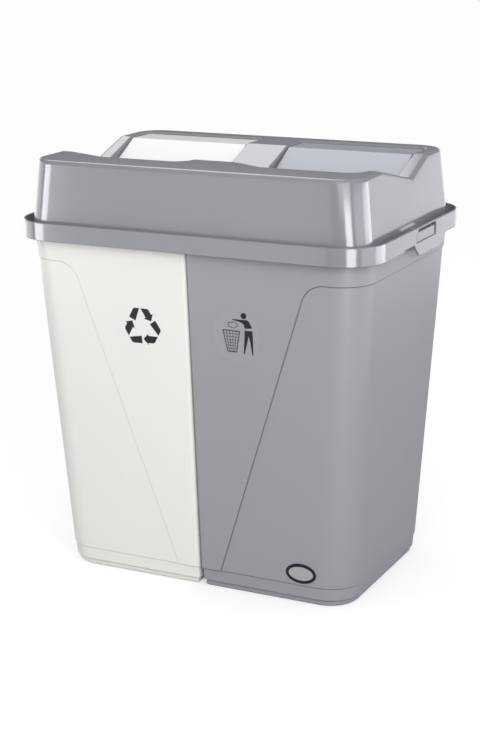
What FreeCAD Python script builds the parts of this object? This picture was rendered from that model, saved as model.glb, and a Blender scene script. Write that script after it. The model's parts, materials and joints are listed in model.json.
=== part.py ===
import FreeCAD, Part
import math
import os

os.makedirs("parts", exist_ok=True)
Vector = FreeCAD.Vector

# Double waste bin: two open buckets side by side, joined by a rim frame that
# drops over both rims, with a hood that stands in the frame and two swing flaps.
# Millimetres. X runs across both buckets, Y runs front (-) to back (+), Z is up.
# The origin is on the floor, at the middle of the footprint.

# Overall envelope
frame_width = 500.0        # outside of the rim frame, across both buckets
frame_depth = 347.0        # outside of the rim frame, front to back
frame_corner = 56.0        # plan radius of the frame's corners
frame_bottom = 451.0       # lower edge of the frame's outer band
frame_height = 23.0        # height of the frame's outer band
hood_top = 551.5           # level deck of the hood above the floor

# Buckets
bucket_side_taper = 25.8   # base's side, in from the bucket's side at the frame
bucket_front_taper = 26.3  # the same, at the front and the back
bucket_set_back = 13.2     # frame's outside to bucket's outside, at the frame's lower edge
bucket_corner = 45.0       # radius of the outer corners
seam_gap_top = 1.2         # between the two buckets, under the frame
seam_gap_base = 3.0        # between the two buckets, at the base
seam_corner = 5.0          # vertical corner radius beside the seam
bucket_wall = 2.4          # thinnest wall of a bucket
bucket_floor = 3.0         # thickness of a bucket's floor
panel_step = 1.5           # how far the outer panel lies below the raised one
base_step_height = 25.0    # height of the step at the base
inner_step_rise = 4.0      # how far above it the inner wall steps in too
tightest_corner = 3.0      # a seam corner with a smaller radius is left square
foot_height = 9.0          # height of the foot ring
foot_neck = 2.0            # height of the groove above the foot ring
foot_inset = 3.0           # foot ring's outside, in from the base's
foot_neck_inset = 5.0      # groove's bottom, in from the base's
foot_ring_width = 4.0      # width of the ring that stands on the floor
foot_bevel = 2.0           # bevel of the ring's lower edge
rim_flange = 5.0           # how far the rim's flange stands out
rim_flange_thickness = 3.0
rim_above_sill = 0.5       # rim above the lower edge of the frame's windows
panel_line_height = 423.0  # height of the step line below the frame
panel_line_foot = 31.0     # distance of the slanting line from the seam, at the base step
panel_line_margin = 72.8   # from the slanting line's top end to the bucket's side
panel_slope = 1.3          # bevel of the raised panel's edge
panel_line_round = 30.0    # radius of its bend

# Rim frame
frame_wall = 2.6
frame_web = 2.6            # floor of the channel round the hood
frame_edge_bevel = 0.7     # bevel of the band's edges
lip_depth = 12.0           # lip that hangs inside each bucket
lip_thickness = 2.0
lip_clearance = 0.8        # between the lip and the bucket's inner wall
hood_rib_height = 8.0      # rib that locates the hood
hood_rib_thickness = 2.0
hood_rib_clearance = 0.8   # between that rib and the hood's wall

# Side skirt, window and catch, one on each end of the frame
skirt_depth = 13.0         # skirt below the frame's lower edge
skirt_front = -25.0        # where the skirt starts, along Y
skirt_back = 88.0          # where it ends
skirt_front_slope = 16.0   # run of its slanting front end
skirt_back_slope = 20.0    # run of its back end
skirt_round = 5.0
thumb_notch_front = -63.0  # shallow notch in the band's lower edge
thumb_notch_back = -24.0
thumb_notch_height = 3.0
window_front = -20.0
window_back = 50.0
window_sill = 4.0          # window's lower edge, above the frame's lower edge
window_top_bar = 2.0       # bar left over the window
window_relief = 4.0        # width of the slot in the web behind the window
catch_height = 11.8
catch_thickness = 2.4
catch_gap_below = 1.0
catch_gap_front = 0.5
catch_gap_back = 6.0
catch_barrel = 2.4         # radius of the catch's barrel
catch_peg = 1.4            # radius of its pivot pegs
catch_peg_length = 2.6
catch_bearing_gap = 0.08   # radial, between peg and socket
catch_end_gap = 0.3        # between the barrel's ends and the bosses
catch_boss_wall = 1.5      # wall of the boss round a peg
catch_grip_length = 9.0    # turned-in grip rib at the catch's free end
catch_grip_depth = 3.0
catch_recess = 0.3         # catch's outside, in from the frame's
catch_boss_recess = 0.1    # boss's outside, in from the frame's
catch_boss_clearance = 0.6 # window's full height starts this far behind the boss
window_round = 1.5         # corners of the window

# Hood
hood_side_taper = 8.0      # deck's side, in from the hood's side at the frame
hood_front_taper = 4.1     # the same, at the front and the back
hood_set_back_side = 15.7  # frame's outside to hood's outside, at the frame's top edge
hood_set_back_front = 14.2 # the same, at the front and the back
hood_corner = 36.5         # radius of the hood's corners
hood_wall = 2.5
hood_edge_round = 6.0      # rounding of the deck's outer edge
notch_margin = 78.2        # deck's edge to the hollow, at the front and the back
notch_valley = 18.0        # deepest line of the hollow, along Y
notch_depth = 22.0
notch_front_round = 9.0
notch_valley_round = 4.0
notch_back_round = 8.0

# Pockets in the hood's deck, one over each bucket
divider_width = 60.0       # bridge between the two pockets
rail_width = 18.8          # side of the hood, beside a pocket
pocket_front_margin = 55.2 # deck's front edge to the pocket
pocket_back_margin = 27.2  # pocket to the deck's back edge
pocket_front_corner = 23.0
pocket_back_corner = 6.0
pocket_edge_bevel = 1.8
pocket_skirt = 46.0        # depth of the pocket's walls below the deck
apron_start_drop = 4.0     # apron's front edge, below the deck
apron_end = 10.0           # back edge of the fixed apron, along Y
apron_end_drop = 38.0      # apron's back edge, below the deck
apron_thickness = 2.5
apron_end_round = 1.0

# Swing flaps
flap_side_gap = 2.0        # flap to pocket wall, each side
flap_back_gap = 2.5        # flap to the pocket's back wall
flap_front_gap = 4.0       # flap's lower edge to the apron's edge
flap_sheet = 2.2
flap_ridge_setback = 1.0   # ridge behind the back break of the hollow
flap_ridge_drop = 2.0      # ridge below the deck
flap_tip_drop = 36.5       # lower edge below the deck
flap_back_drop = 2.5       # back edge below the deck
flap_flange_depth = 9.0    # turned-down side flanges
flap_flange_end = 3.0      # depth of a flange at its two ends
flap_flange_reach = 12.0   # deepest stretch of a flange, either way from the ridge
flap_flange_slope = 5.0    # how much deeper its front end is
flap_flange_round = 8.0
flap_edge_round = 0.8
flap_back_lip = 9.0        # depth of the turned-down lip at the back edge
flap_ridge_round = 3.0
pin_radius = 2.5
pin_bearing_gap = 0.1      # radial
pin_setback = 7.2          # pivot axis, in front of the ridge
pin_drop = 9.0             # pivot axis, below the ridge
pin_end_gap = 0.5          # pin's end short of the wall's far face

# Labels and badge, on the front
label_radius = 33.0
label_thickness = 0.2
label_height = 349.0       # centre above the floor
label_offset = 67.5        # centre from the seam
badge_width = 42.0
badge_height = 27.0
badge_thickness = 1.0
badge_centre_height = 42.5
badge_margin = 65.9        # centre from the bucket's side

# Sizes that follow from the ones above
frame_top = frame_bottom + frame_height
taper_height = frame_bottom - foot_height
rim_top = frame_bottom + window_sill + rim_above_sill
web_top = rim_top + frame_web
bucket_top_half = frame_width / 2 - bucket_set_back
bucket_base_half = bucket_top_half - bucket_side_taper
bucket_top_depth = frame_depth / 2 - bucket_set_back
bucket_base_depth = bucket_top_depth - bucket_front_taper
panel_line_bend = bucket_top_half - panel_line_margin
inner_inset = panel_step + bucket_wall
base_inset = 2 * panel_step
base_seam_inset = panel_step
floor_bottom = foot_height
floor_top = floor_bottom + bucket_floor
hood_base_half = frame_width / 2 - hood_set_back_side
hood_base_depth = frame_depth / 2 - hood_set_back_front
hood_top_half = hood_base_half - hood_side_taper
hood_top_depth = hood_base_depth - hood_front_taper
notch_front = notch_margin - hood_top_depth
notch_back = hood_top_depth - notch_margin
pocket_inner = divider_width / 2
pocket_outer = hood_top_half - rail_width
pocket_front = pocket_front_margin - hood_top_depth
pocket_back = hood_top_depth - pocket_back_margin
flap_ridge = notch_back + flap_ridge_setback
badge_offset = bucket_base_half - badge_margin
window_bottom = frame_bottom + window_sill
window_top = frame_top - window_top_bar
catch_bottom = window_bottom + catch_gap_below
catch_top = catch_bottom + catch_height
catch_socket = catch_peg + catch_bearing_gap
catch_boss_half = catch_socket + catch_boss_wall
catch_axis_x = frame_width / 2 - catch_boss_recess - catch_boss_half
catch_axis_y = window_front + catch_gap_front + catch_barrel
pin_y = flap_ridge - pin_setback
pin_z = hood_top - flap_ridge_drop - pin_drop
far = 400.0                # longer than any piece, for cutting tools
past = 1.0                 # how far a tool runs past the face it cuts, or a root into its wall


def mix(start, end, share):
    return start + (end - start) * share


def drafted_box(low, high, z0, z1):
    """Box with sloping sides; low and high are (lowest X, highest X, half depth)."""
    def corners(rectangle, z):
        x0, x1, depth = rectangle
        return [Vector(x0, -depth, z), Vector(x1, -depth, z), Vector(x1, depth, z), Vector(x0, depth, z)]

    below = corners(low, z0)
    above = corners(high, z1)
    outlines = [below, above]
    for i in range(4):
        after = (i + 1) % 4
        outlines.append([below[i], below[after], above[after], above[i]])
    faces = [Part.Face(Part.makePolygon(outline + outline[:1])) for outline in outlines]
    shell = Part.makeShell(faces)
    shell.sewShape()
    closed = Part.makeSolid(shell)
    return Part.makeSolid(Part.makeShell(closed.Faces))


def rounded_block(low, high, z0, z1, inner_corner, outer_corner):
    """Drafted box with its upright edges rounded, by one radius on each side in X.

    A side whose radius is 0 stays square.
    """
    block = drafted_box(low, high, z0, z1)
    middle = (low[0] + low[1]) / 2

    def upright(side):
        found = []
        for edge in block.Edges:
            box = edge.BoundBox
            if box.ZLength > (z1 - z0) / 2 and (box.Center.x - middle) * side > 0:
                found.append(edge)
        return found

    if inner_corner > 0:
        block = block.makeFillet(inner_corner, upright(-1))
    return block.makeFillet(outer_corner, upright(1))


def rounded_wire(points, radii, place):
    """Closed outline through 2-D points, each corner rounded by its own radius."""
    edges = []
    previous = None
    first = None
    count = len(points)
    for i in range(count):
        here = Vector(*points[i], 0)
        before = Vector(*points[i - 1], 0) - here
        after = Vector(*points[(i + 1) % count], 0) - here
        radius = radii[i]
        if radius > 0:
            half = before.getAngle(after) / 2
            back = radius / math.tan(half)
            start = here + before.normalize() * back
            end = here + after.normalize() * back
            inward = (before + after).normalize()
            middle = here + inward * (radius / math.sin(half) - radius)
            corner = Part.Arc(place(start), place(middle), place(end)).toShape()
        else:
            start = end = here
            corner = None
        if previous is not None:
            edges.append(Part.LineSegment(place(previous), place(start)).toShape())
        else:
            first = start
        if corner is not None:
            edges.append(corner)
        previous = end
    edges.append(Part.LineSegment(place(previous), place(first)).toShape())
    return Part.Wire(edges)


def side_prism(points, radii, x0, x1):
    """Outline in Y and Z, drawn out from x0 to x1."""
    wire = rounded_wire(points, radii, lambda p: Vector(x0, p.x, p.y))
    return Part.Face(wire).extrude(Vector(x1 - x0, 0, 0))


def front_prism(points, radii, y0, y1):
    """Outline in X and Z, drawn out from y0 to y1."""
    wire = rounded_wire(points, radii, lambda p: Vector(p.x, y0, p.y))
    return Part.Face(wire).extrude(Vector(0, y1 - y0, 0))


def mirrored(shape):
    return shape.mirror(Vector(0, 0, 0), Vector(1, 0, 0))


def save(shape, name):
    shape.exportStep("parts/" + name + ".step")


# ---- Buckets -------------------------------------------------------------

def bucket_half_depth(z):
    return mix(bucket_base_depth, bucket_top_depth, (z - foot_height) / taper_height)


def bucket_rectangle(z, inset, seam_inset):
    share = (z - foot_height) / taper_height
    seam = mix(seam_gap_base, seam_gap_top, share) / 2 + seam_inset
    outer = mix(bucket_base_half, bucket_top_half, share) - inset
    return seam, outer, bucket_half_depth(z) - inset


def bucket_block(z0, z1, inset, seam_inset):
    """A slice of a bucket's outer form, moved in by inset, and by seam_inset at the seam."""
    low = bucket_rectangle(z0, inset, seam_inset)
    high = bucket_rectangle(z1, inset, seam_inset)
    inner_corner = seam_corner - seam_inset
    if inner_corner < tightest_corner:
        inner_corner = 0
    return rounded_block(low, high, z0, z1, inner_corner, bucket_corner - inset)


def base_block(z0, z1, inset):
    """A slice of the base, moved in by inset from its outside."""
    return bucket_block(z0, z1, base_inset + inset, base_seam_inset + inset)


def outer_panel_zone():
    """Everything below and outside the slanting step line."""
    reach = frame_width
    points = [
        (panel_line_foot, base_step_height),
        (reach, base_step_height),
        (reach, panel_line_height),
        (panel_line_bend, panel_line_height),
    ]
    return front_prism(points, [0, 0, 0, panel_line_round], -far, far)


def foot():
    ring = base_block(0, foot_height - foot_neck, foot_inset)
    low_edges = [e for e in ring.Edges if e.BoundBox.ZMax < 0.01]
    ring = ring.makeChamfer(foot_bevel, low_edges)
    neck = base_block(foot_height - foot_neck, foot_height, foot_neck_inset)
    hollow = base_block(-past, floor_bottom, foot_inset + foot_ring_width)
    return ring.fuse(neck).cut(hollow)


def on_panel_line(edge):
    """True for an edge of the raised panel that lies on the outer surface."""
    box = edge.BoundBox
    near_side = box.Center.x > bucket_top_half - bucket_side_taper / 2
    straight_in = box.XLength < past and box.ZLength < past
    return box.ZMax < panel_line_height + past and (near_side or not straight_in)


def bevelled(block, chosen):
    """The block with the chosen edges bevelled, apart from those beside the seam."""
    edges = [e for e in block.Edges if chosen(e) and e.BoundBox.XMax > seam_corner]
    return block.makeChamfer(panel_slope, edges)


def at_base_step(edge):
    return edge.BoundBox.ZMax < base_step_height + past


def bucket():
    raised = bucket_block(base_step_height, rim_top, 0, 0).cut(outer_panel_zone())
    raised = bevelled(raised, on_panel_line)
    lowered = bevelled(bucket_block(base_step_height, rim_top, panel_step, 0), at_base_step)
    base = base_block(foot_height, base_step_height, 0)
    flange = bucket_block(rim_top - rim_flange_thickness, rim_top, -rim_flange, 0)
    body = raised.fuse([lowered, base, foot(), flange])
    inner_step = base_step_height + inner_step_rise
    inside = base_block(floor_top, inner_step + past, bucket_wall)
    inside_upper = bucket_block(inner_step, rim_top + past, inner_inset, bucket_wall)
    return body.cut(inside.fuse(inside_upper)).removeSplitter()


# ---- Rim frame -----------------------------------------------------------

def frame_block(z0, z1, inset):
    half = frame_width / 2 - inset
    plan = (-half, half, frame_depth / 2 - inset)
    corner = frame_corner - inset
    return rounded_block(plan, plan, z0, z1, corner, corner)


def skirt():
    """Deeper stretch of the band at one end, where the window is."""
    low = frame_bottom - skirt_depth
    points = [
        (skirt_front, frame_bottom + past),
        (skirt_front + skirt_front_slope, low),
        (skirt_back - skirt_back_slope, low),
        (skirt_back, frame_bottom + past),
    ]
    outside = frame_width / 2
    return side_prism(points, [0, skirt_round / 2, 2 * skirt_round, 0], outside - frame_wall, outside)


def catch_boss(z0, z1):
    """Square boss on the band's inside, for one peg of the catch."""
    x0 = catch_axis_x - catch_boss_half
    y0 = catch_axis_y - catch_boss_half
    wall_side = frame_width / 2 - frame_wall / 2
    return Part.makeBox(wall_side - x0, 2 * catch_boss_half, z1 - z0, Vector(x0, y0, z0))


def window_tool():
    """Opening in one end of the band, and the slot in the web behind it."""
    outside = frame_width / 2
    step_y = catch_axis_y + catch_boss_half + catch_boss_clearance
    step_z = catch_top + catch_end_gap
    points = [
        (window_front, window_bottom),
        (window_back, window_bottom),
        (window_back, window_top),
        (step_y, window_top),
        (step_y, step_z),
        (window_front, step_z),
    ]
    radii = [0, window_round, window_round, 0, 0, 0]
    return side_prism(points, radii, outside - frame_wall - window_relief, outside + past)


def thumb_notch():
    """Shallow notch in the band's lower edge, in front of the skirt."""
    top = frame_bottom + thumb_notch_height
    points = [
        (thumb_notch_front, frame_bottom - past),
        (thumb_notch_back, frame_bottom - past),
        (thumb_notch_back, top),
        (thumb_notch_front + thumb_notch_height, top),
    ]
    outside = frame_width / 2
    return side_prism(points, [0, 0, 0, 0], outside - frame_wall - past, outside + past)


def frame():
    band = frame_block(frame_bottom, frame_top, 0)
    top_edges = [e for e in band.Edges if e.BoundBox.ZMin > frame_top - 0.01]
    low_edges = [e for e in band.Edges if e.BoundBox.ZMax < frame_bottom + 0.01]
    band = band.makeChamfer(frame_edge_bevel, top_edges + low_edges)
    band = band.cut(frame_block(frame_bottom - past, frame_top + past, frame_wall))
    web = frame_block(rim_top, web_top, frame_wall / 2)
    rib = hood_block(web_top, web_top + hood_rib_height, hood_wall + hood_rib_clearance)
    rib_hole_inset = hood_wall + hood_rib_clearance + hood_rib_thickness
    rib = rib.cut(hood_block(web_top - past, web_top + hood_rib_height + past, rib_hole_inset))
    lip_inset = inner_inset + lip_clearance
    lip_seam = bucket_wall + lip_clearance
    lip = bucket_block(rim_top - lip_depth, rim_top, lip_inset, lip_seam)
    hole = bucket_block(rim_top - lip_depth - past, web_top + past, lip_inset + lip_thickness,
                        lip_seam + lip_thickness)
    pieces = [web, rib, lip, mirrored(lip), skirt(), mirrored(skirt())]
    whole = band.fuse(pieces).cut([hole, mirrored(hole)])
    openings = window_tool().fuse(thumb_notch())
    whole = whole.cut([openings, mirrored(openings)])
    upper_boss = catch_boss(catch_top + catch_end_gap, frame_top - frame_edge_bevel)
    lower_boss = catch_boss(frame_bottom, catch_bottom - catch_end_gap)
    bosses = upper_boss.fuse(lower_boss)
    whole = whole.fuse([bosses, mirrored(bosses)])
    socket_reach = catch_peg_length + catch_end_gap
    socket = Part.makeCylinder(catch_socket, catch_height + 2 * socket_reach,
                               Vector(catch_axis_x, catch_axis_y, catch_bottom - socket_reach))
    return whole.cut([socket, mirrored(socket)]).removeSplitter()


def catch():
    """Spring catch in the right-hand window, pivoting on pegs at its front end."""
    outside = frame_width / 2 - catch_recess
    back = window_back - catch_gap_back
    plate = Part.makeBox(catch_thickness, back - catch_axis_y, catch_height,
                         Vector(outside - catch_thickness, catch_axis_y, catch_bottom))
    barrel = Part.makeCylinder(catch_barrel, catch_height,
                               Vector(catch_axis_x, catch_axis_y, catch_bottom))
    grip = Part.makeBox(catch_grip_depth, catch_thickness, catch_height,
                        Vector(outside - catch_thickness - catch_grip_depth,
                               back - catch_thickness, catch_bottom))
    rib = Part.makeBox(catch_grip_depth, catch_grip_length, catch_thickness,
                       Vector(outside - catch_thickness - catch_grip_depth,
                              back - catch_grip_length, catch_bottom + catch_height / 2))
    peg = Part.makeCylinder(catch_peg, catch_height + 2 * catch_peg_length,
                            Vector(catch_axis_x, catch_axis_y, catch_bottom - catch_peg_length))
    whole = plate.fuse([barrel, grip, rib, peg]).removeSplitter()
    corner = [e for e in whole.Edges
              if abs(e.BoundBox.YMin - back) < 0.01 and e.BoundBox.XMin > outside - 0.01]
    return whole.makeFillet(catch_thickness / 3, corner)


# ---- Hood ----------------------------------------------------------------

def hood_rectangle(z, inset):
    share = (z - frame_top) / (hood_top - frame_top)
    half = mix(hood_base_half, hood_top_half, share) - inset
    return -half, half, mix(hood_base_depth, hood_top_depth, share) - inset


def hood_block(z0, z1, inset):
    """A slice of the hood's outer form, moved in by inset."""
    corner = hood_corner - inset
    return rounded_block(hood_rectangle(z0, inset), hood_rectangle(z1, inset), z0, z1, corner, corner)


def notch_tool(drop):
    """The hollow across the deck, lowered by drop."""
    deck = hood_top - drop
    points = [
        (notch_valley, deck - notch_depth),
        (notch_back, deck),
        (far, deck),
        (far, deck + far),
        (-far, deck + far),
        (-far, deck),
        (notch_front, deck),
    ]
    radii = [notch_valley_round, notch_back_round, 0, 0, 0, 0, notch_front_round]
    return side_prism(points, radii, -far, far)


def hood_outer():
    body = hood_block(web_top, hood_top + hood_edge_round, 0).cut(notch_tool(0))
    rim = []
    for edge in body.Edges:
        box = edge.BoundBox
        on_deck = box.ZMin > hood_top - notch_depth - past
        across = box.XLength > hood_top_half
        inside = abs(box.YMin) < pocket_back
        if on_deck and not (across and inside):
            rim.append(edge)
    return body.makeFillet(hood_edge_round, rim)


def pocket_block(z0, z1, grow):
    """Pocket over the right-hand bucket: wide front corners, tight back ones."""
    x0 = pocket_inner - grow
    x1 = pocket_outer + grow
    y0 = pocket_front - grow
    y1 = pocket_back + grow
    points = [(x0, y0), (x1, y0), (x1, y1), (x0, y1)]
    front = pocket_front_corner + grow
    back = pocket_back_corner + grow
    wire = rounded_wire(points, [front, front, back, back], lambda p: Vector(p.x, p.y, z0))
    return Part.Face(wire).extrude(Vector(0, 0, z1 - z0))


def apron():
    """Fixed slope at the front of a pocket, down to the flap's lower edge."""
    points = [
        (pocket_front - past, hood_top - apron_start_drop),
        (apron_end, hood_top - apron_end_drop),
        (apron_end, hood_top - apron_end_drop - apron_thickness),
        (pocket_front - past, hood_top - apron_start_drop - apron_thickness),
    ]
    radii = [0, apron_end_round, apron_end_round, 0]
    slab = side_prism(points, radii, pocket_inner - past, pocket_outer + past)
    return slab.common(pocket_block(0, hood_top + past, past))


def pocket_rim(block):
    """The upper edges of both pockets."""
    found = []
    for edge in block.Edges:
        box = edge.BoundBox
        on_deck = box.ZMin > hood_top - notch_depth - past
        nearest = min(abs(box.XMin), abs(box.XMax))
        farthest = max(abs(box.XMin), abs(box.XMax))
        one_side = box.XMin * box.XMax > 0
        within_x = nearest > pocket_inner - past and farthest < pocket_outer + past
        within_y = box.YMax < pocket_back + past and box.YMin > pocket_front - past
        if on_deck and one_side and within_x and within_y:
            found.append(edge)
    return found


def hood():
    outer = hood_outer()
    pocket = pocket_block(0, hood_top + hood_edge_round, 0)
    outer = outer.cut([pocket, mirrored(pocket)])
    outer = outer.makeChamfer(pocket_edge_bevel, pocket_rim(outer))
    inner = hood_block(web_top - past, hood_top + hood_edge_round, hood_wall).cut(notch_tool(hood_wall))
    shell = outer.cut(inner)
    well = pocket_block(hood_top - pocket_skirt, hood_top + hood_edge_round, hood_wall).common(outer)
    shell = shell.fuse([well, mirrored(well)])
    slope = apron()
    shell = shell.fuse([slope, mirrored(slope)])
    bore = Part.makeCylinder(pin_radius + pin_bearing_gap, pocket_outer - pocket_inner + 2 * hood_wall,
                             Vector(pocket_inner - hood_wall, pin_y, pin_z), Vector(1, 0, 0))
    return shell.cut([bore, mirrored(bore)]).removeSplitter()


# ---- Flaps ---------------------------------------------------------------

def flap():
    """Right-hand flap: a front facet, a ridge and a level back facet."""
    x0 = pocket_inner + flap_side_gap
    x1 = pocket_outer - flap_side_gap
    tip_y = apron_end + flap_front_gap
    back_y = pocket_back - flap_back_gap
    tip_z = hood_top - flap_tip_drop
    ridge_z = hood_top - flap_ridge_drop
    back_z = hood_top - flap_back_drop
    sheet_points = [
        (tip_y, tip_z),
        (flap_ridge, ridge_z),
        (back_y, back_z),
        (back_y, back_z - flap_back_lip),
        (back_y - flap_sheet, back_z - flap_back_lip),
        (back_y - flap_sheet, back_z - flap_sheet),
        (flap_ridge, ridge_z - flap_sheet),
        (tip_y + flap_sheet / 2, tip_z - flap_sheet),
    ]
    edge = flap_edge_round
    sheet = side_prism(sheet_points, [edge, flap_ridge_round, edge, 0, 0, 0, 0, 0], x0, x1)
    flange_points = [
        (tip_y + flap_sheet, tip_z),
        (flap_ridge, ridge_z - flap_sheet / 2),
        (back_y - edge, back_z - flap_sheet / 2),
        (back_y - edge, back_z - flap_sheet / 2 - flap_flange_end),
        (flap_ridge + flap_flange_reach, ridge_z - flap_flange_depth),
        (flap_ridge - flap_flange_reach, ridge_z - flap_flange_depth - flap_flange_slope),
        (tip_y + 2 * flap_sheet, tip_z - flap_flange_end),
    ]
    radii = [0, 0, 0, 0, flap_flange_round, flap_flange_round, 0]
    near = side_prism(flange_points, radii, x0, x0 + flap_sheet)
    other = side_prism(flange_points, radii, x1 - flap_sheet, x1)
    pin_start = pocket_inner - hood_wall + pin_end_gap
    pin_end = pocket_outer + hood_wall - pin_end_gap
    stub = flap_side_gap + hood_wall - pin_end_gap + 3 * flap_sheet
    left_pin = Part.makeCylinder(pin_radius, stub, Vector(pin_start, pin_y, pin_z), Vector(1, 0, 0))
    right_pin = Part.makeCylinder(pin_radius, stub, Vector(pin_end - stub, pin_y, pin_z), Vector(1, 0, 0))
    return sheet.fuse([near, other, left_pin, right_pin]).removeSplitter()


# ---- Labels and badge ----------------------------------------------------

def on_front(shape, x, z, inset):
    """Lay a flat piece, made on the XY plane and rising in +Z, on the bucket's front."""
    slope = math.degrees(math.atan((bucket_top_depth - bucket_base_depth) / taper_height))
    shape.rotate(Vector(0, 0, 0), Vector(1, 0, 0), 90 + slope)
    shape.translate(Vector(x, -bucket_half_depth(z) + inset, z))
    return shape


def label(x):
    return on_front(Part.makeCylinder(label_radius, label_thickness), x, label_height, 0)


def badge():
    oval = Part.Ellipse(Vector(0, 0, 0), badge_width / 2, badge_height / 2).toShape()
    plate = Part.Face(Part.Wire([oval])).extrude(Vector(0, 0, badge_thickness))
    return on_front(plate, badge_offset, badge_centre_height, panel_step)


right_bucket = bucket()
save(right_bucket, "right_bucket")
save(mirrored(right_bucket), "left_bucket")
save(frame(), "rim_frame")
right_catch = catch()
save(right_catch, "right_catch")
save(mirrored(right_catch), "left_catch")
save(hood(), "hood")
right_flap = flap()
save(right_flap, "right_flap")
save(mirrored(right_flap), "left_flap")
save(label(-label_offset), "recycling_label")
save(label(label_offset), "litter_label")
save(badge(), "oval_badge")
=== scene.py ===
import json
import math

import bmesh
import bpy
import numpy as np
from mathutils import Matrix, Vector


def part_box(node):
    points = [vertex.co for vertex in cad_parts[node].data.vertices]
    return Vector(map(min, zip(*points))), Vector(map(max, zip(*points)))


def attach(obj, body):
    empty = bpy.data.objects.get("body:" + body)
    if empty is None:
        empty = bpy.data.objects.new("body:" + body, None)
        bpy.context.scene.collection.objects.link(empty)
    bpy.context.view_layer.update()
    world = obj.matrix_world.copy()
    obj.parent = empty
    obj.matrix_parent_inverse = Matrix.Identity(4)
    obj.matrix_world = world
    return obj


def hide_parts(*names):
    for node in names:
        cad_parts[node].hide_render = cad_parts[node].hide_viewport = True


# A double sorting bin: a white and a grey bucket, a rim frame, a hood and two
# swing flaps. Metres, in the frame's own axes.

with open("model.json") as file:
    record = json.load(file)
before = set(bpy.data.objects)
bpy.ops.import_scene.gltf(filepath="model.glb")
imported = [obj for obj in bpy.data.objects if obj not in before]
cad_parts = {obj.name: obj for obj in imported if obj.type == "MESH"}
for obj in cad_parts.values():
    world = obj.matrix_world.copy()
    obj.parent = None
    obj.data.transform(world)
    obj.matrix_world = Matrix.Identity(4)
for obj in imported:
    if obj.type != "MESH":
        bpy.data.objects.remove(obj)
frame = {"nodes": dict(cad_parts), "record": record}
record = frame["record"]
nodeMeshes = frame["nodes"]
nodeBody = {}
for bodyName, names in record["behaviour"]["bodies"].items():
    for name in names:
        nodeBody[name] = bodyName

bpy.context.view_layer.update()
print("frame loaded:", len(nodeMeshes), "nodes")


def srgb(r, g, b):
    # a screen colour from 0 to 255 as the linear colour a shader takes
    def linear(v):
        v = v / 255
        return v / 12.92 if v <= 0.04045 else ((v + 0.055) / 1.055) ** 2.4
    return (linear(r), linear(g), linear(b), 1.0)


def addNode(tree, kind, **values):
    node = tree.nodes.new(kind)
    for key, value in values.items():
        setattr(node, key, value)
    return node


def newGroup(name, inputs, outputs):
    # inputs and outputs are (name, socket type, default) and (name, socket type)
    group = bpy.data.node_groups.new(name, "ShaderNodeTree")
    for label, kind, default in inputs:
        socket = group.interface.new_socket(label, in_out="INPUT", socket_type=kind)
        socket.default_value = default
    for label, kind in outputs:
        group.interface.new_socket(label, in_out="OUTPUT", socket_type=kind)
    return group, group.nodes.new("NodeGroupInput"), group.nodes.new("NodeGroupOutput")


# noise scales per metre; the flow marks are stretched along Z
skinNoise = {"grainDetail": 3, "flowStretch": (22, 22, 3.5), "flowDetail": 2,
             "patchScale": 9, "patchDetail": 5, "middle": 0.5}


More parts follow.
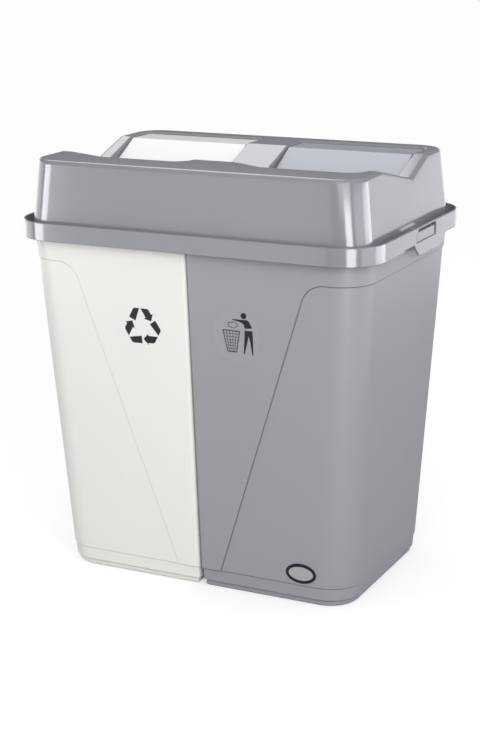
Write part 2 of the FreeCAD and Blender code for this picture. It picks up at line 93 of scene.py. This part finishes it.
def buildMouldedSkin(look):
    # Moulded plastic: a fine grain, long flow marks along Z and soft patches of wear.
    # height = grain * grainDepth
    # roughness = base + (patches - 0.5) * spread
    # colour = colour * (1 + (flow - 0.5) * colourSpread)
    group, source, sink = newGroup(
        "mouldedSkin",
        [("Grain Size", "NodeSocketFloat", 0.0006), ("Grain Depth", "NodeSocketFloat", 1.0),
         ("Base Roughness", "NodeSocketFloat", 0.35),
         ("Roughness Spread", "NodeSocketFloat", 0.08),
         ("Colour", "NodeSocketColor", (0.5, 0.5, 0.5, 1)),
         ("Colour Spread", "NodeSocketFloat", 0.03)],
        [("Colour", "NodeSocketColor"), ("Roughness", "NodeSocketFloat"),
         ("Height", "NodeSocketFloat")])
    links = group.links
    place = addNode(group, "ShaderNodeTexCoord")

    scale = addNode(group, "ShaderNodeMath", operation="DIVIDE")
    scale.inputs[0].default_value = 1.0
    links.new(source.outputs["Grain Size"], scale.inputs[1])
    grain = addNode(group, "ShaderNodeTexNoise")
    grain.inputs["Detail"].default_value = look["grainDetail"]
    links.new(place.outputs["Object"], grain.inputs["Vector"])
    links.new(scale.outputs[0], grain.inputs["Scale"])

    stretch = addNode(group, "ShaderNodeMapping")
    stretch.inputs["Scale"].default_value = look["flowStretch"]
    links.new(place.outputs["Object"], stretch.inputs["Vector"])
    flow = addNode(group, "ShaderNodeTexNoise")
    flow.inputs["Scale"].default_value = 1.0
    flow.inputs["Detail"].default_value = look["flowDetail"]
    links.new(stretch.outputs[0], flow.inputs["Vector"])

    patches = addNode(group, "ShaderNodeTexNoise")
    patches.inputs["Scale"].default_value = look["patchScale"]
    patches.inputs["Detail"].default_value = look["patchDetail"]
    links.new(place.outputs["Object"], patches.inputs["Vector"])

    centred = addNode(group, "ShaderNodeMath", operation="SUBTRACT")
    centred.inputs[1].default_value = look["middle"]
    links.new(patches.outputs["Fac"], centred.inputs[0])
    rough = addNode(group, "ShaderNodeMath", operation="MULTIPLY_ADD", use_clamp=True)
    links.new(centred.outputs[0], rough.inputs[0])
    links.new(source.outputs["Roughness Spread"], rough.inputs[1])
    links.new(source.outputs["Base Roughness"], rough.inputs[2])
    links.new(rough.outputs[0], sink.inputs["Roughness"])

    height = addNode(group, "ShaderNodeMath", operation="MULTIPLY")
    links.new(grain.outputs["Fac"], height.inputs[0])
    links.new(source.outputs["Grain Depth"], height.inputs[1])
    links.new(height.outputs[0], sink.inputs["Height"])

    flowCentred = addNode(group, "ShaderNodeMath", operation="SUBTRACT")
    flowCentred.inputs[1].default_value = look["middle"]
    links.new(flow.outputs["Fac"], flowCentred.inputs[0])
    shade = addNode(group, "ShaderNodeMath", operation="MULTIPLY_ADD")
    shade.inputs[2].default_value = 1.0
    links.new(flowCentred.outputs[0], shade.inputs[0])
    links.new(source.outputs["Colour Spread"], shade.inputs[1])
    tone = addNode(group, "ShaderNodeVectorMath", operation="SCALE")
    links.new(source.outputs["Colour"], tone.inputs[0])
    links.new(shade.outputs[0], tone.inputs["Scale"])
    links.new(tone.outputs[0], sink.inputs["Colour"])
    return group


mouldedSkin = buildMouldedSkin(skinNoise)

# srgb colours, sizes in metres, one entry for each finish
finishes = {
    "whiteBucket": {"colour": srgb(238, 237, 233), "roughness": 0.36, "spread": 0.10,
                    "grainSize": 0.0009, "grainDepth": 1.0, "bump": 0.00002, "specular": 0.45},
    "greyBucket": {"colour": srgb(155, 154, 161), "roughness": 0.36, "spread": 0.10,
                   "grainSize": 0.0009, "grainDepth": 1.0, "bump": 0.00002, "specular": 0.45},
    # painted shade: a darker copy of the grey bucket's colour, standing in for shade on the step
    # bevels
    "greyStepPaintedShade": {"colour": srgb(118, 117, 124), "roughness": 0.42, "spread": 0.08,
                 "grainSize": 0.0009, "grainDepth": 1.0, "bump": 0.00002, "specular": 0.30},
    "greyTrim": {"colour": srgb(137, 138, 144), "roughness": 0.15, "spread": 0.05,
                 "grainSize": 0.0012, "grainDepth": 0.5, "bump": 0.00001, "specular": 0.5},
    "greyCatch": {"colour": srgb(143, 142, 148), "roughness": 0.34, "spread": 0.08,
                  "grainSize": 0.0010, "grainDepth": 1.0, "bump": 0.00002, "specular": 0.45},
    "whiteFlap": {"colour": srgb(228, 228, 229), "roughness": 0.30, "spread": 0.03,
                  "grainSize": 0.0010, "grainDepth": 0.8, "bump": 0.00002, "specular": 0.28},
    "greyFlap": {"colour": srgb(159, 163, 172), "roughness": 0.28, "spread": 0.03,
                 "grainSize": 0.0010, "grainDepth": 0.8, "bump": 0.00002, "specular": 0.30},
    "whiteLabel": {"colour": srgb(238, 237, 234), "roughness": 0.30, "spread": 0.05,
                   "grainSize": 0.0015, "grainDepth": 0.3, "bump": 0.00001, "specular": 0.5},
    "greyLabel": {"colour": srgb(157, 156, 162), "roughness": 0.30, "spread": 0.05,
                  "grainSize": 0.0015, "grainDepth": 0.3, "bump": 0.00001, "specular": 0.5},
    "blackPrint": {"colour": srgb(14, 13, 13), "roughness": 0.35, "spread": 0.08,
                   "grainSize": 0.0008, "grainDepth": 0.5, "bump": 0.00001, "specular": 0.4},
    "badgeBlack": {"colour": srgb(16, 16, 17), "roughness": 0.18, "spread": 0.05,
                   "grainSize": 0.0010, "grainDepth": 0.4, "bump": 0.00001, "specular": 0.5},
    "badgeField": {"colour": srgb(168, 168, 171), "roughness": 0.34, "spread": 0.05,
                  "grainSize": 0.0010, "grainDepth": 0.4, "bump": 0.00001, "specular": 0.5},
}


def buildPlastic(name, look):
    material = bpy.data.materials.new(name)
    material.use_nodes = True
    tree = material.node_tree
    tree.nodes.clear()
    skin = addNode(tree, "ShaderNodeGroup", node_tree=mouldedSkin)
    skin.inputs["Grain Size"].default_value = look["grainSize"]
    skin.inputs["Grain Depth"].default_value = look["grainDepth"]
    skin.inputs["Base Roughness"].default_value = look["roughness"]
    skin.inputs["Roughness Spread"].default_value = look["spread"]
    skin.inputs["Colour"].default_value = look["colour"]
    bump = addNode(tree, "ShaderNodeBump")
    bump.inputs["Strength"].default_value = 1.0
    bump.inputs["Distance"].default_value = look["bump"]
    shader = addNode(tree, "ShaderNodeBsdfPrincipled")
    shader.inputs["Specular IOR Level"].default_value = look["specular"]
    output = addNode(tree, "ShaderNodeOutputMaterial")
    tree.links.new(skin.outputs["Height"], bump.inputs["Height"])
    tree.links.new(skin.outputs["Colour"], shader.inputs["Base Color"])
    tree.links.new(skin.outputs["Roughness"], shader.inputs["Roughness"])
    tree.links.new(bump.outputs["Normal"], shader.inputs["Normal"])
    tree.links.new(shader.outputs[0], output.inputs["Surface"])
    return material


materials = {name: buildPlastic(name, look) for name, look in finishes.items()}
print("materials built:", len(materials))


# one entry for each moulded piece: its finish and the round on its edges in metres
moulded = {
    "left_bucket": {"finish": "whiteBucket", "edgeRound": 0.0006},
    "right_bucket": {"finish": "greyBucket", "edgeRound": 0.0006},
    "rim_frame": {"finish": "greyTrim", "edgeRound": 0.0005},
    "left_catch": {"finish": "greyCatch", "edgeRound": 0.0003},
    "right_catch": {"finish": "greyCatch", "edgeRound": 0.0003},
    "hood": {"finish": "greyTrim", "edgeRound": 0.0006},
    "left_flap": {"finish": "whiteFlap", "edgeRound": 0.0004},
    "right_flap": {"finish": "greyFlap", "edgeRound": 0.0004},
    "recycling_label": {"finish": "whiteLabel", "edgeRound": 0.0},
    "litter_label": {"finish": "greyLabel", "edgeRound": 0.0},
    "oval_badge": {"finish": "badgeBlack", "edgeRound": 0.0003},
}


# The bevels of the grey bucket's panel step and base step get a darker grey: painted shade
# standing in for the shade line along these steps.
# lowest, highest and flatReach in metres; the rest are parts of a unit normal
stepShadeLines = {
    "right_bucket": {"finish": "greyStepPaintedShade", "lowest": 0.020, "highest": 0.430,
                     "downTilt": 0.30, "sideTurn": 0.30, "faceOut": 0.6, "flatReach": 0.165},
}


def paintStepShade(mesh, look):
    # A face lies on the step where its normal tips down by more than downTilt, or turns
    # sideways by more than sideTurn on the flat part of the front or the back; these faces
    # get the painted shade of the step line.
    count = len(mesh.polygons)
    centre, normal = np.zeros(count * 3), np.zeros(count * 3)
    mesh.polygons.foreach_get("center", centre)
    mesh.polygons.foreach_get("normal", normal)
    centre, normal = centre.reshape(-1, 3), normal.reshape(-1, 3)
    inBand = (centre[:, 2] > look["lowest"]) & (centre[:, 2] < look["highest"])
    tipped = normal[:, 2] < -look["downTilt"]
    outward = normal[:, 1] * np.sign(centre[:, 1]) > look["faceOut"]
    turned = outward & (normal[:, 0] > look["sideTurn"]) & (centre[:, 0] < look["flatReach"])
    mesh.polygons.foreach_set("material_index", (inBand & (tipped | turned)).astype(np.int32))


# weld in metres, angles in degrees
meshing = {"weld": 0.000005, "flatAngle": 0.2, "sharpAngle": 24, "roundSteps": 2}


def mouldedCopy(name, look):
    # The node's own surface with its doubles merged, flat stretches joined into single
    # faces, sharp edges kept sharp and finished with a small round.
    mesh = nodeMeshes[name].data.copy()
    mesh.name = name + "Skin"
    work = bmesh.new()
    work.from_mesh(mesh)
    bmesh.ops.remove_doubles(work, verts=work.verts, dist=meshing["weld"])
    bmesh.ops.dissolve_limit(work, angle_limit=math.radians(meshing["flatAngle"]),
                             verts=work.verts, edges=work.edges)
    for face in work.faces:
        face.smooth = True
    sharpAngle = math.radians(meshing["sharpAngle"])
    for edge in work.edges:
        edge.smooth = len(edge.link_faces) == 2 and edge.calc_face_angle(0) < sharpAngle
    work.to_mesh(mesh)
    work.free()
    mesh.materials.clear()
    mesh.materials.append(materials[look["finish"]])
    # the grey bucket's step bevels get the painted-shade material as a second slot
    if name in stepShadeLines:
        mesh.materials.append(materials[stepShadeLines[name]["finish"]])
        paintStepShade(mesh, stepShadeLines[name])
    piece = bpy.data.objects.new(name + "Skin", mesh)
    bpy.context.scene.collection.objects.link(piece)
    if look["edgeRound"] > 0:
        bevel = piece.modifiers.new("edgeRound", "BEVEL")
        bevel.width = look["edgeRound"]
        bevel.segments = meshing["roundSteps"]
        bevel.limit_method = "ANGLE"
        bevel.angle_limit = sharpAngle
        bevel.harden_normals = True
    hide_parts(name)
    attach(piece, nodeBody[name])


for name, look in moulded.items():
    mouldedCopy(name, look)
print("moulded pieces:", len(moulded))


def frontPlane(name):
    # Origin and axes of a flat node that lies on the bucket's front: across, up the
    # slope and outwards. Outwards is the direction in which its points spread least.
    mesh = nodeMeshes[name].data
    count = len(mesh.vertices)
    points = np.empty(count * 3)
    mesh.vertices.foreach_get("co", points)
    points = points.reshape(count, 3)
    middle = points.mean(axis=0)
    spread = np.linalg.eigh(np.cov((points - middle).T))[1]
    outward = spread[:, 0]
    if outward[1] > 0:
        outward = -outward
    across = np.array([1.0, 0.0, 0.0])
    upward = np.cross(outward, across)
    if upward[2] < 0:
        upward = -upward
    reach = ((points - middle) @ outward).max()
    return middle + outward * reach, across, upward, outward


def arcPoints(cx, cy, rx, ry, start, end, count):
    # x = cx + rx cos t, y = cy + ry sin t, in degrees
    t = np.radians(np.linspace(start, end, count))
    return np.stack([cx + rx * np.cos(t), cy + ry * np.sin(t)], axis=1)


def turned(points, degrees):
    # x' = x cos a - y sin a, y' = x sin a + y cos a
    a = math.radians(degrees)
    turn = np.array([[math.cos(a), math.sin(a)], [-math.sin(a), math.cos(a)]])
    return np.asarray(points) @ turn


inkThickness = 0.00005


def placeSign(name, outlines, plane, lift, finish, body):
    # Flat outlines in millimetres, laid on a plane and given a thin skin:
    # point = origin + outward * lift + across * x + upward * y
    origin, across, upward, outward = plane
    vertices, faces = [], []
    for outline in outlines:
        outline = np.asarray(outline, float) / 1000
        start = len(vertices)
        placed = origin + outward * lift + outline[:, :1] * across + outline[:, 1:] * upward
        vertices.extend(placed.tolist())
        faces.append(list(range(start, start + len(outline))))
    mesh = bpy.data.meshes.new(name)
    mesh.from_pydata(vertices, [], faces)
    work = bmesh.new()
    work.from_mesh(mesh)
    for face in work.faces:
        face.normal_update()
        if face.normal.dot(Vector(outward)) < 0:
            face.normal_flip()
    bmesh.ops.triangulate(work, faces=work.faces, ngon_method="EAR_CLIP")
    work.to_mesh(mesh)
    work.free()
    mesh.materials.append(materials[finish])
    piece = bpy.data.objects.new(name, mesh)
    bpy.context.scene.collection.objects.link(piece)
    skin = piece.modifiers.new("ink", "SOLIDIFY")
    skin.thickness = inkThickness
    skin.offset = 1
    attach(piece, body)


recyclingSign = {"centre": (2.0, -1.0), "lift": 0.00002, "barTop": 24.4}


def recyclingOutlines(sign):
    # One arrow is a folded bar and a head; the sign is that pair turned by 120 degrees.
    top = sign["barTop"]
    bar = np.vstack([[(-18.4, 11.7), (-9.5, 7.3), (-3.2, top)],
                     arcPoints(-9.0, top - 3.5, 4.0, 3.5, 90, 155, 6)])
    heading = np.array([math.cos(math.radians(-60)), math.sin(math.radians(-60))])
    beside = np.array([math.cos(math.radians(30)), math.sin(math.radians(30))])
    base = np.array([9.6, 14.9])
    bodyHalf, wingHalf, headLength = 4.7, 7.6, 7.4

    def along(side, height):
        start = base + beside * side
        return start + heading * (height - start[1]) / heading[1]

    head = np.array([
        along(-bodyHalf, top),
        along(bodyHalf, top) - (1.2, 0),
        along(bodyHalf, top - 1.6),
        base + beside * bodyHalf,
        base + beside * wingHalf,
        base + heading * headLength,
        base - beside * wingHalf,
        base - beside * bodyHalf,
    ])
    outlines = []
    for turn in (0, 120, 240):
        outlines.append(turned(bar, turn))
        outlines.append(turned(head, turn))
    return [outline + np.array(sign["centre"]) for outline in outlines]


litterSign = {"centre": (2.0, 4.0), "lift": 0.00002, "wire": 0.8, "basketColumns": 5,
              "basketRows": 7}


def litterOutlines(sign):
    # A plain upright figure letting a scrap fall into a wire basket.
    head = arcPoints(8.6, 23.8, 3.9, 4.0, 0, 345, 24)
    body = np.array([
        (-7.0, 18.6), (4.5, 18.6), (12.6, 19.0), (15.8, 17.0), (18.0, 12.5), (19.8, 8.8),
        (9.6, 7.7), (8.6, 12.6), (6.6, 14.4), (1.6, 15.9), (-7.0, 17.6)])
    legs = np.array([
        (9.4, 5.2), (20.0, 5.4), (20.4, -6.0), (20.2, -25.8), (18.9, -25.8), (16.6, -9.0),
        (14.6, -1.6), (12.8, -9.0), (8.4, -25.4), (7.0, -25.4), (8.8, -6.0)])
    outlines = [head, body, legs]

    wire = sign["wire"]
    topLeft, topRight = np.array((-20.5, 3.4)), np.array((2.6, 3.4))
    lowLeft, lowRight = np.array((-15.0, -23.6)), np.array((-2.6, -23.6))

    def stroke(start, end, width):
        # a straight line with the given width
        direction = (end - start) / np.linalg.norm(end - start)
        side = np.array([-direction[1], direction[0]]) * width / 2
        return np.array([start - side, end - side, end + side, start + side])

    for i in range(sign["basketColumns"] + 1):
        share = i / sign["basketColumns"]
        edge = wire * (1.25 if share in (0, 1) else 0.8)
        outlines.append(stroke(topLeft + (topRight - topLeft) * share,
                               lowLeft + (lowRight - lowLeft) * share, edge))
    for i in range(sign["basketRows"] + 1):
        share = i / sign["basketRows"]
        edge = wire * (1.6 if share in (0, 1) else 0.8)
        outlines.append(stroke(topLeft + (lowLeft - topLeft) * share,
                               topRight + (lowRight - topRight) * share, edge))

    # the scrap: a bumpy oval drawn as short strokes, its reach = 1 + 0.10 cos 5t
    t = np.radians(np.linspace(0, 360, 41))
    reach = 1 + 0.10 * np.cos(5 * t)
    scrap = np.stack([-6.8 + 6.4 * reach * np.cos(t), 11.0 + 3.7 * reach * np.sin(t)], axis=1)
    for start, end in zip(scrap[:-1], scrap[1:]):
        outlines.append(stroke(start, end + (end - start) * 0.15, wire))
    return [np.asarray(outline) + np.array(sign["centre"]) for outline in outlines]


placeSign("recyclingPrint", recyclingOutlines(recyclingSign), frontPlane("recycling_label"),
          recyclingSign["lift"], "blackPrint", nodeBody["recycling_label"])
placeSign("litterPrint", litterOutlines(litterSign), frontPlane("litter_label"),
          litterSign["lift"], "blackPrint", nodeBody["litter_label"])

badgeField = {"share": 0.80, "aspect": 27 / 42, "lift": 0.00002, "steps": 72}


def badgeOutlines(field):
    # The bare oval inside the badge's dark rim, in millimetres:
    # halves of the badge's width and height, each less the rim.
    low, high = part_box("oval_badge")
    badgeHalf = (high[0] - low[0]) * 500
    rim = badgeHalf * (1 - field["share"])
    return [arcPoints(0, 0, badgeHalf - rim, badgeHalf * field["aspect"] - rim,
                      0, 360, field["steps"] + 1)[:-1]]


placeSign("badgeFace", badgeOutlines(badgeField), frontPlane("oval_badge"),
          badgeField["lift"], "badgeField", nodeBody["oval_badge"])
print("signs placed")


room = {"floorHalf": 30.0, "floorColour": (0.50, 0.50, 0.50, 1.0), "floorGlow": 0.55,
        "skyColour": (1.0, 1.0, 1.0, 1.0), "skySoft": 0.86, "skyShine": 0.20, "skySeen": 1.0,
        "aimHeight": 0.3}

# radiance is what a mirror would show; a shineOnly lamp is seen in glossy surfaces alone
white = (1.0, 1.0, 1.0)
cool = (0.95, 0.94, 1.0)
lamps = {
    "key": {"azimuth": 35, "distance": 1.99, "height": 1.23, "width": 1.6, "tall": 1.2,
            "radiance": 3.5, "colour": white, "shineOnly": False},
    "leftStrip": {"azimuth": -50.5, "distance": 1.5, "height": 0.40, "width": 0.60, "tall": 0.56,
                  "radiance": 13.0, "colour": white, "shineOnly": True},
    "leftWall": {"azimuth": -98, "distance": 1.6, "height": 0.45, "width": 1.7, "tall": 0.9,
                 "radiance": 2.4, "colour": white, "shineOnly": True},
    "frontWall": {"azimuth": -25, "distance": 1.6, "height": 0.35, "width": 0.74, "tall": 0.7,
                  "radiance": 1.5, "colour": white, "shineOnly": True},
    "frontStrip": {"azimuth": 44, "distance": 1.5, "height": 0.40, "width": 0.52, "tall": 0.56,
                   "radiance": 14.0, "colour": white, "shineOnly": True},
    "rightGlow": {"azimuth": 82, "distance": 1.7, "height": 0.40, "width": 1.0, "tall": 0.7,
                  "radiance": 3.4, "colour": cool, "shineOnly": True},
    "rightStrip": {"azimuth": 119, "distance": 1.6, "height": 0.38, "width": 1.1, "tall": 0.6,
                   "radiance": 8.0, "colour": cool, "shineOnly": True},
    "rightWall": {"azimuth": 160, "distance": 1.8, "height": 0.40, "width": 1.4, "tall": 0.9,
                  "radiance": 1.7, "colour": cool, "shineOnly": True},
    "overheadBack": {"azimuth": -138, "distance": 0.99, "height": 1.70, "width": 1.0, "tall": 1.2,
                     "radiance": 3.3, "colour": white, "shineOnly": True},
}


def buildFloor(look):
    half = look["floorHalf"]
    mesh = bpy.data.meshes.new("floor")
    corners = [(-half, -half, 0), (half, -half, 0), (half, half, 0), (-half, half, 0)]
    mesh.from_pydata(corners, [], [(0, 1, 2, 3)])
    floor = bpy.data.objects.new("floor", mesh)
    bpy.context.scene.collection.objects.link(floor)
    material = bpy.data.materials.new("paleFloor")
    material.use_nodes = True
    tree = material.node_tree
    tree.nodes.clear()
    matte = addNode(tree, "ShaderNodeBsdfDiffuse")
    matte.inputs["Color"].default_value = look["floorColour"]
    glow = addNode(tree, "ShaderNodeEmission")
    rays = addNode(tree, "ShaderNodeLightPath")
    seen = addNode(tree, "ShaderNodeMath", operation="MULTIPLY")
    seen.inputs[1].default_value = look["floorGlow"]
    both = addNode(tree, "ShaderNodeAddShader")
    output = addNode(tree, "ShaderNodeOutputMaterial")
    tree.links.new(rays.outputs["Is Camera Ray"], seen.inputs[0])
    tree.links.new(seen.outputs[0], glow.inputs["Strength"])
    tree.links.new(matte.outputs[0], both.inputs[0])
    tree.links.new(glow.outputs[0], both.inputs[1])
    tree.links.new(both.outputs[0], output.inputs["Surface"])
    mesh.materials.append(material)


def buildSky(look):
    world = bpy.data.worlds.new("studio")
    bpy.context.scene.world = world
    world.use_nodes = True
    tree = world.node_tree
    tree.nodes.clear()
    light = addNode(tree, "ShaderNodeBackground")
    light.inputs["Color"].default_value = look["skyColour"]
    rays = addNode(tree, "ShaderNodeLightPath")
    # strength = soft + glossy * (shine - soft) + seen * (seenLevel - soft)
    shine = addNode(tree, "ShaderNodeMath", operation="MULTIPLY_ADD")
    shine.inputs[1].default_value = look["skyShine"] - look["skySoft"]
    shine.inputs[2].default_value = look["skySoft"]
    strength = addNode(tree, "ShaderNodeMath", operation="MULTIPLY_ADD")
    strength.inputs[1].default_value = look["skySeen"] - look["skySoft"]
    tree.links.new(rays.outputs["Is Glossy Ray"], shine.inputs[0])
    tree.links.new(shine.outputs[0], strength.inputs[2])
    output = addNode(tree, "ShaderNodeOutputWorld")
    tree.links.new(rays.outputs["Is Camera Ray"], strength.inputs[0])
    tree.links.new(strength.outputs[0], light.inputs["Strength"])
    tree.links.new(light.outputs[0], output.inputs["Surface"])


def buildLamp(name, look):
    # azimuth 0 is in front of the object, 90 on its right; energy = radiance * pi * area
    turn = math.radians(look["azimuth"])
    place = Vector((math.sin(turn) * look["distance"], -math.cos(turn) * look["distance"],
                    look["height"]))
    data = bpy.data.lights.new(name, "AREA")
    data.shape = "RECTANGLE"
    data.size = look["width"]
    data.size_y = look["tall"]
    data.energy = look["radiance"] * math.pi * look["width"] * look["tall"]
    data.color = look["colour"]
    lamp = bpy.data.objects.new(name, data)
    aim = Vector((0, 0, room["aimHeight"])) - place
    turnToAim = aim.to_track_quat("-Z", "Y").to_matrix().to_4x4()
    lamp.matrix_world = Matrix.Translation(place) @ turnToAim
    lamp.visible_camera = False
    lamp.visible_diffuse = not look["shineOnly"]
    bpy.context.scene.collection.objects.link(lamp)


# angles in degrees, focal length and film height in millimetres
lens = {"place": (0.9802, -1.9669, 0.8764), "azimuth": 26.6175, "elevation": 15.6319,
        "roll": -0.6604, "focal": 83.336, "film": 36.0, "farEnd": 50}


def buildCamera(look):
    az, el, roll = (math.radians(look[key]) for key in ("azimuth", "elevation", "roll"))
    forward = Vector((-math.sin(az) * math.cos(el), math.cos(az) * math.cos(el), -math.sin(el)))
    level = Vector((math.cos(az), math.sin(az), 0))
    top = level.cross(forward)
    right = level * math.cos(roll) + top * math.sin(roll)
    up = top * math.cos(roll) - level * math.sin(roll)
    data = bpy.data.cameras.new("camera")
    data.sensor_fit = "VERTICAL"
    data.sensor_height = look["film"]
    data.lens = look["focal"]
    data.clip_end = look["farEnd"]
    camera = bpy.data.objects.new("camera", data)
    turn = Matrix((right, up, -forward)).transposed().to_4x4()
    camera.matrix_world = Matrix.Translation(Vector(look["place"])) @ turn
    bpy.context.scene.collection.objects.link(camera)
    bpy.context.scene.camera = camera


buildFloor(room)
buildSky(room)
for name, look in lamps.items():
    buildLamp(name, look)
buildCamera(lens)
bpy.context.scene.view_settings.view_transform = "Standard"
print("room, lamps and camera ready")
